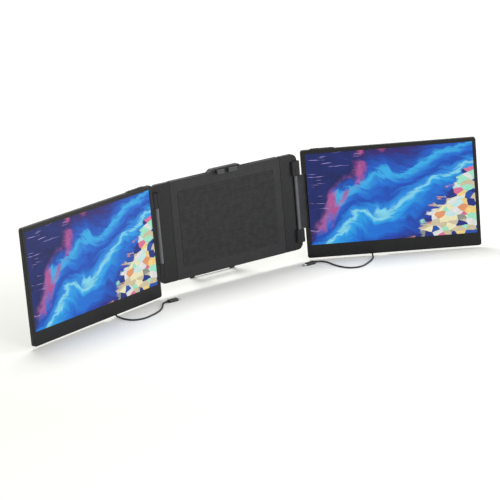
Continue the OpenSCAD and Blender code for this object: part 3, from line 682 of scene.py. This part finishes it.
def make_cable(side):
    """A screen's cable with a plug at each end. It drops from the screen and lies on the
    floor, where its far plug points inwards."""
    place = screen_place(side)
    toe = math.radians(TOE[side])
    heading = Vector((-math.cos(toe), -math.sin(toe), 0))
    far = Vector((*FAR_AT[side], FAR_Z))
    body = side + "_screen"
    start = (PORT_S, SOCKET_Y, PLUG_TOP - PLUG_BODY - PLUG_RELIEF)
    line = [place @ p for p in smooth_line(
        [start, *DROP, *ROUTE[side], far - heading * FAR_RELIEF])]
    curve = bpy.data.curves.new(side + "_cord", "CURVE")
    curve.dimensions, curve.bevel_depth = "3D", CABLE_D / 2 * MM
    curve.bevel_resolution, curve.use_fill_caps = 6, True
    spline = curve.splines.new("POLY")
    spline.points.add(len(line) - 1)
    for point, at in zip(spline.points, line):
        point.co = (*at, 1)
    curve.materials.append(FINISHES["cable_sheath"])
    cord = bpy.data.objects.new(side + "_cord", curve)
    bpy.context.scene.collection.objects.link(cord)
    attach(cord, body)
    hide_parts(side + "_cable")
    at_screen = place @ Matrix.Translation((PORT_S, SOCKET_Y, PLUG_TOP))
    at_floor = (place @ Matrix.Translation(far + heading * FAR_BODY)
                @ Matrix.Rotation(toe, 4, "Z") @ Matrix.Rotation(-math.pi / 2, 4, "Y")
                @ Matrix.Rotation(math.pi / 2, 4, "Z"))
    plugs = [
        piece(plug(PLUG_BODY, PLUG_RELIEF), side + "_near_plug_grip", body, "plug_moulding",
              [side + "_screen_plug"], at_screen),
        piece(plug_tip(), side + "_near_plug_tip", body, "pin_steel", place=at_screen),
        piece(plug(FAR_BODY, FAR_RELIEF), side + "_far_plug_grip", body, "plug_moulding",
              [side + "_laptop_plug"], at_floor),
        piece(plug_tip(), side + "_far_plug_tip", body, "pin_steel", place=at_floor)]


for side in SIDES:
    make_cable(side)


# ---------- screens ----------

# the lip's rounding has to be narrower than the slot's corners, or the front closes over it
SLOT_R, LIP_R = 0.9, 0.7


def screen_outline(side):
    """A screen's outline, with the slot that its link turns in."""
    low = EDGE_IN[side]
    corners = ((low, SCREEN_BOTTOM), (EDGE_OUT, SCREEN_BOTTOM), (EDGE_OUT, SCREEN_TOP),
               (low, SCREEN_TOP))
    slot = ((low, SLOT_TOP), (SLOT_S, SLOT_TOP), (SLOT_S, SLOT_BOTTOM), (low, SLOT_BOTTOM))
    return [(s, z, CORNER_R) for s, z in corners] + [(s, z, SLOT_R) for s, z in slot]


def make_bezel(side):
    """The front frame: a soft outer lip, and a slope in to the picture."""
    picture_r, slope, around = 0.8, 0.5, 1
    bm = bmesh.new()
    s0, z0, s1, z1 = PICTURE_IN, PICTURE_BOTTOM, PICTURE_IN + PICTURE_W, PICTURE_TOP
    plate(bm, screen_outline(side), -HALF_T, -HALF_T + BEZEL_T,
          [box_plate(s0, z0, s1, z1, picture_r)])
    inside = ((s0 - around, z0 - around), (s1 + around, z1 + around))
    inner = set(rim(bm, -HALF_T, inside))
    bevel(bm, [e for e in rim(bm, -HALF_T) if e not in inner], LIP_R)
    bevel(bm, rim(bm, -HALF_T, inside), slope, 1)
    piece(bm, side + "_bezel", side + "_screen", "bezel_plastic", [side + "_front_bezel"],
          screen_place(side))


def make_back(side):
    """The rear shell, with its plug bay, button pod, screws' sinks and sound slits."""
    name = side + "_rear_cover"
    bm = copied(name)
    soften(bm, 0.35)
    piece(bm, side + "_back_shell", side + "_screen", "housing_plastic", [name])


def screws(name, body, node_name, spots, radius, y0, y1, place):
    """Cylinder-head screws from depth y0 back to y1, with a six-sided socket in each head.
    radius is the shank's."""
    head_r, head_t, head_edge = radius * 1.9, radius * 0.8, radius * 0.2
    socket_r, socket_t = radius * 0.85, radius * 0.55
    bm, tools = bmesh.new(), bmesh.new()
    for x, z in spots:
        rod(bm, (x, y0, z), (x, y1 - radius * 0.7, z), radius, sides=16)
        rod(bm, (x, y1 - head_t, z), (x, y1, z), head_r, sides=28)
        rod(tools, (x, y1 - socket_t, z), (x, y1 + 1, z), socket_r, sides=6)
    bevel(bm, rim(bm, y1), head_edge, 2)
    piece(cut(bm, tools), name, body, "screw_steel", [node_name], place)


def make_keys(side):
    """The power button, slightly dished, and the menu rocker with its saddle."""
    low, top, stem_low = SCREEN_TOP - 1.6, SCREEN_TOP + POD_H + 0.8, SCREEN_TOP - 3.4
    half_t, stem_half_t, stem_in = 1.5, 1.2, 0.6
    corner_r, rim_r = 0.7, 0.35
    for key, node_name, s, half, dip in (("power", "power_button", POWER_S, 4.5, 0.25),
                                         ("menu", "menu_rocker", MENU_S, 5.5, 0.6)):
        bm = bmesh.new()
        # the roundings of the dipped top have to fit in its short edges
        crown, slope_s, slope_z = half * 0.2, half * 0.45, top - dip * 0.4
        plate(bm, [(s - half, low), (s + half, low), (s + half, top, corner_r),
                   (s + slope_s, slope_z, crown), (s, top - dip, crown),
                   (s - slope_s, slope_z, crown), (s - half, top, corner_r)], -half_t, half_t)
        for y in (-half_t, half_t):
            bevel(bm, rim(bm, y), rim_r, 2)
        block(bm, (s - half + stem_in, -stem_half_t, stem_low),
              (s + half - stem_in, stem_half_t, low + 0.2))
        piece(bm, f"{side}_{key}_cap", f"{side}_{key}_key", "key_plastic",
              [f"{side}_{node_name}"], screen_place(side))


def make_sockets(side):
    """Two plated sockets. The free one shows its contact tongue, and the other holds a plug."""
    depth, back_t, tongue_half_w, tongue_half_t = 7.4, 0.6, 3.3, 0.35
    bm = bmesh.new()
    for s in (PORT_S, PORT_S + PORT_GAP):
        shell = bmesh.new()
        plate(shell, centred(4.45, 1.575, 1.5), 0, depth, [centred(4.2, 1.3, 1.25)])
        plate(shell, centred(4.3, 1.4, 1.3), depth - back_t, depth - 0.05)
        if s != PORT_S:
            block(shell, (-tongue_half_w, 1.2, -tongue_half_t),
                  (tongue_half_w, depth - 0.3, tongue_half_t))
        shell.transform(upright())
        bmesh.ops.recalc_face_normals(shell, faces=shell.faces[:])
        add(bm, shell, Matrix.Translation((s, SOCKET_Y, BAY_TOP)))
    piece(bm, side + "_port_shells", side + "_screen", "pin_steel", [side + "_usb_sockets"],
          screen_place(side))


for side in SIDES:
    make_bezel(side)
    make_back(side)
    make_keys(side)
    make_sockets(side)
    screws(side + "_shell_screws", side + "_screen", side + "_screen_screws",
           SCREEN_SCREW_SPOTS, radius=0.8, y0=-3.1, y1=4.4, place=screen_place(side))


# ---------- hinges and wings ----------

WING_SCREW_SPOTS = [(135.3, 80), (135.3, -80), (154, 68), (154, -70)]
GRIP_ZONES = ((-83, -58.7), (53.7, 81.5))


def make_hinge(side):
    """The link's plate and barrels, the wing's arm with its hinge blocks, and its rear plate."""
    wing = side + "_wing"
    for part, body, width, slot in (("link", side + "_hinge_link", 0.4, "link_metal"),
                                    ("wing_arm", wing, 0.5, "arm_metal"),
                                    ("wing_cover", wing, 0.5, "housing_plastic")):
        name = f"{side}_{part}"
        bm = copied(name)
        soften(bm, width)
        piece(bm, name + "_body", body, slot, [name])
    screws(side + "_arm_screws", wing, side + "_wing_screws", WING_SCREW_SPOTS,
           radius=1.2, y0=1.8, y1=9.4, place=side_place(side))


def make_grips(side):
    """Rubber grips on the blocks' inner sides, with upright ribs."""
    ribs, proud, rib_t, gap_share, rib_r = 4, 0.5, 0.8, 0.12, 0.25
    name = side + "_grip_pads"
    low, high = span(name)
    x0, x1 = sorted((abs(low.x), abs(high.x)))
    pitch = (high.y - low.y) / ribs
    bm = bmesh.new()
    for z0, z1 in GRIP_ZONES:
        block(bm, (x0 + proud, low.y, z0), (x1, high.y, z1))
        for k in range(ribs):
            rib = bmesh.new()
            block(rib, (x0, low.y + pitch * (k + gap_share), z0),
                  (x0 + rib_t, low.y + pitch * (k + 1 - gap_share), z1))
            bevel(rib, [e for e in rib.edges if all(v.co.x < x0 + 0.1 for v in e.verts)],
                  rib_r, 2)
            add(bm, rib)
    piece(bm, side + "_grips", side + "_wing", "soft_rubber", [name], side_place(side))


for side in SIDES:
    make_hinge(side)
    make_grips(side)


# ---------- housing ----------

HUB_SCREW_SPOTS = [(x, z) for x in (-118, -44.84, 44.84, 118) for z in (-90, 87.8)]
COVER_R = 3     # the corners of the front cover and of its pad


def make_housing():
    """The front cover with its sunk bed for the pad, and the rear shell."""
    edge_r, bed_gap, back_r = 0.5, 0.2, 0.9
    low, high = span("hub_front_cover")
    pad_low, pad_high = span("lid_pad")
    bm = bmesh.new()
    plate(bm, box_plate(low.x, low.z, high.x, high.z, COVER_R), low.y, high.y)
    bevel(bm, rim(bm, low.y), edge_r)
    bed = bmesh.new()
    plate(bed, box_plate(pad_low.x - bed_gap, pad_low.z - bed_gap, pad_high.x + bed_gap,
                         pad_high.z + bed_gap, COVER_R + bed_gap), low.y - 1, pad_high.y)
    piece(cut(bm, bed), "front_cover", "hub", "housing_plastic", ["hub_front_cover"])
    bm = copied("hub_rear_cover")
    soften(bm, back_r, 3)
    piece(bm, "back_cover", "hub", "housing_plastic", ["hub_rear_cover"])
    screws("cover_screws", "hub", "hub_screws", HUB_SCREW_SPOTS,
           radius=1.5, y0=2.5, y1=11.9, place=METRES)


def make_pad():
    """The rubber pad: rounded rim, and shallow level channels."""
    edge_r, pitch, wide, deep, end_r, margin = 0.4, 8, 1.6, 0.35, 0.7, 6
    low, high = span("lid_pad")
    bm, tools = bmesh.new(), bmesh.new()
    plate(bm, box_plate(low.x, low.z, high.x, high.z, COVER_R), low.y, high.y)
    bevel(bm, rim(bm, low.y), edge_r)
    z = low.z + pitch
    while z < high.z - pitch / 2:
        plate(tools, box_plate(low.x + margin, z - wide / 2, high.x - margin, z + wide / 2,
                               end_r), low.y - 0.5, low.y + deep)
        z += pitch
    piece(cut(bm, tools), "lid_rubber", "hub", "soft_rubber", ["lid_pad"])


make_housing()
make_pad()


# ---------- clamp and stand ----------

HEAD_Z, HEAD_TOP, HEAD_FRONT, HEAD_BACK = 97.2, 103, -1, 11
HEAD_HALF_W, HEAD_TOP_HALF_W = 39, 31.5
BAR_LOW, BAR_HIGH = (-28, 3.2, 30), (28, 8.7, HEAD_Z + 0.01)
# each hook's left edge and width, then the depths and heights of both
HOOKS = ((-22.3, 16.5), (3.9, 19.7))
HOOK_FRONT, HOOK_INNER = -7.2, -5.2
HOOK_TIP, HOOK_UNDER, HOOK_TOP = 91.9, 93.9, 100


def inlay_shape(inset):
    """The outline of the sunk inlay in the clamp's head."""
    low, high, r = 98.6 + inset, 101.9 - inset, 0.8
    low_half, high_half = 33 - inset, 30.5 - inset
    return [(-low_half, low, r), (low_half, low, r), (high_half, high, r),
            (-high_half, high, r)]


def make_clamp():
    """The clamp's head with its finger grooves and inlay, and the bar below it."""
    head_corner_r, head_edge_r, groove_r, groove_half, groove_lift = 1.5, 0.7, 0.75, 26, 0.35
    bm, tools = bmesh.new(), bmesh.new()
    plate(bm, [(-HEAD_HALF_W, HEAD_Z), (HEAD_HALF_W, HEAD_Z),
               (HEAD_TOP_HALF_W, HEAD_TOP, head_corner_r),
               (-HEAD_TOP_HALF_W, HEAD_TOP, head_corner_r)], HEAD_FRONT, HEAD_BACK)
    bevel(bm, [e for e in bm.edges if e.calc_face_angle(0) > 0.7
               and all(v.co.z > HEAD_Z + 0.1 for v in e.verts)], head_edge_r)
    for y in (1.6, 3.9, 6.2, 8.5):
        rod(tools, (-groove_half, y, HEAD_TOP + groove_lift),
            (groove_half, y, HEAD_TOP + groove_lift), groove_r, sides=12)
    # a long black inlay, sunk in the head's front
    plate(tools, inlay_shape(0), HEAD_FRONT - 1, 0.4)
    bm = cut(bm, tools)
    block(bm, BAR_LOW, BAR_HIGH)
    piece(bm, "clamp_head", "clamp", "clamp_plastic", ["clamp_bar"])
    inlay_front, inlay_back = -0.5, 0.6
    inlay = bmesh.new()
    plate(inlay, inlay_shape(0.1), inlay_front, inlay_back)
    bevel(inlay, rim(inlay, inlay_front), 0.2, 2)
    piece(inlay, "clamp_inlay", "clamp", "soft_rubber")


def make_hooks():
    """The clamp's two hooks, which reach forward from the head and turn down."""
    tip_r, bend_r, side_r = 0.6, 1.6, 0.4
    # drawn in the Y-Z plane: its x becomes y and its depth becomes x
    sideways = Matrix(((0, 1, 0, 0), (1, 0, 0, 0), (0, 0, 1, 0), (0, 0, 0, 1)))
    hooks = bmesh.new()
    for x0, width in HOOKS:
        hook = bmesh.new()
        plate(hook, [(HOOK_FRONT, HOOK_TIP, tip_r), (HOOK_INNER, HOOK_TIP, tip_r),
                     (HOOK_INNER, HOOK_UNDER), (HEAD_FRONT, HOOK_UNDER),
                     (HEAD_FRONT, HOOK_TOP), (HOOK_FRONT, HOOK_TOP, bend_r)], x0, x0 + width)
        for y in (x0, x0 + width):
            bevel(hook, rim(hook, y), side_r, 2)
        add(hooks, hook, sideways)
    bmesh.ops.recalc_face_normals(hooks, faces=hooks.faces[:])
    piece(hooks, "clamp_hooks", "clamp", "finger_plastic", ["clamp_fingers"])


def make_stand():
    """The folding stand: eyes, frame, drawn legs and ribbed feet."""
    for part, body, width, slot in (("stand_bracket", "hub", 0.5, "stand_metal"),
                                    ("stand_frame", "stand", 0.6, "stand_metal"),
                                    ("stand_legs", "stand_extension", 0.3, "leg_metal"),
                                    ("stand_feet", "stand_extension", 0.4, "soft_rubber")):
        bm = copied(part)
        soften(bm, width)
        piece(bm, part + "_body", body, slot, [part])


make_clamp()
make_hooks()
make_stand()


# ---------- finishes of the nodes that stay as they are ----------

def dress_nodes():
    """Each node that is shown as packed gets its real finish."""
    slots = {p["node"]: p["material_slot"] for p in frame["record"]["subparts"]}
    for name, obj in frame["nodes"].items():
        obj.data.materials.clear()
        side = name.split("_")[0]
        lit = slots[name] == "screen_glass"
        obj.data.materials.append(lit_picture(side) if lit else FINISHES[slots[name]])


dress_nodes()


# ---------- floor and light ----------

def pale_rays(tree):
    """1 for what the camera sees, also through glass and mirrored in gloss, and 0 for light that
    falls on the object."""
    rays = node(tree, "LightPath").outputs
    clear = node(tree, "Math", {0: rays["Is Camera Ray"], 1: rays["Is Transmission Ray"]},
                 operation="MAXIMUM")
    return node(tree, "Math", {0: clear.outputs[0], 1: rays["Is Glossy Ray"]},
                operation="MAXIMUM").outputs[0]


# metres: the floor's half width, and where its lift starts and stops growing
FLOOR_HALF, LIFT_NEAR, LIFT_FAR = 30, 0.8, 4


def make_floor():
    """A plain white floor. It keeps the object's shadow and is white where nothing shades it:
    a lift that grows with distance keeps the far floor as white as the near floor."""
    bm = bmesh.new()
    bmesh.ops.create_grid(bm, x_segments=1, y_segments=1, size=FLOOR_HALF,
                          matrix=Matrix.Translation((0, 0, FLOOR_Z * MM)))
    mesh = bpy.data.meshes.new("floor")
    bm.to_mesh(mesh)
    bm.free()
    material, tree, body = fresh("matt white paper", {"Base Color": rgba("#e9e9e3"),
                                                      "Roughness": 0.9,
                                                      "Specular IOR Level": 0.1})
    seen = pale_rays(tree)
    far = node(tree, "VectorMath", {0: node(tree, "TexCoord").outputs["Object"]},
               operation="LENGTH")
    lift = node(tree, "MapRange", {"Value": far.outputs["Value"], "From Min": LIFT_NEAR,
                                   "From Max": LIFT_FAR, "To Min": 0.15, "To Max": 0.85})
    lift = node(tree, "Math", {0: seen, 1: lift.outputs["Result"]}, operation="MULTIPLY")
    body.inputs["Emission Color"].default_value = (1, 1, 1, 1)
    tree.links.new(lift.outputs[0], body.inputs["Emission Strength"])
    mesh.materials.append(material)
    floor = bpy.data.objects.new("floor", mesh)
    bpy.context.scene.collection.objects.link(floor)


# each lamp's place and size in metres, and its power in watts
LAMPS = (("key lamp", (2.0, -1.5, 0.65), 1.4, 34),
         ("front lamp", (-0.2, -2.2, 0.8), 1.0, 14),
         ("top lamp", (0.1, 0.7, 2.1), 1.1, 34))
WORLD_LIGHT = 0.42


def lamp(name, at, size, watts):
    """A soft square lamp that faces the object's middle."""
    data = bpy.data.lights.new(name, "AREA")
    data.size, data.energy = size, watts
    obj = bpy.data.objects.new(name, data)
    obj.location = at
    obj.rotation_euler = (-Vector(at)).to_track_quat("-Z", "Y").to_euler()
    bpy.context.scene.collection.objects.link(obj)


def make_light():
    """Even studio light: a pale world, a broad lamp at the user's right that brightens the left
    screen more than the right one, a weak lamp in front, and one above, a little behind."""
    world = bpy.data.worlds.new("studio")
    world.use_nodes = True
    tree = world.node_tree
    tree.nodes.clear()
    seen = pale_rays(tree)
    strength = node(tree, "MapRange", {"Value": seen, "To Min": WORLD_LIGHT, "To Max": 1})
    sky = node(tree, "Background", {"Color": (1, 1, 1, 1),
                                    "Strength": strength.outputs["Result"]})
    node(tree, "OutputWorld", {"Surface": sky.outputs["Background"]})
    bpy.context.scene.world = world
    for name, at, size, watts in LAMPS:
        lamp(name, at, size, watts)


make_floor()
make_light()
bpy.context.scene.view_settings.view_transform = "Standard"
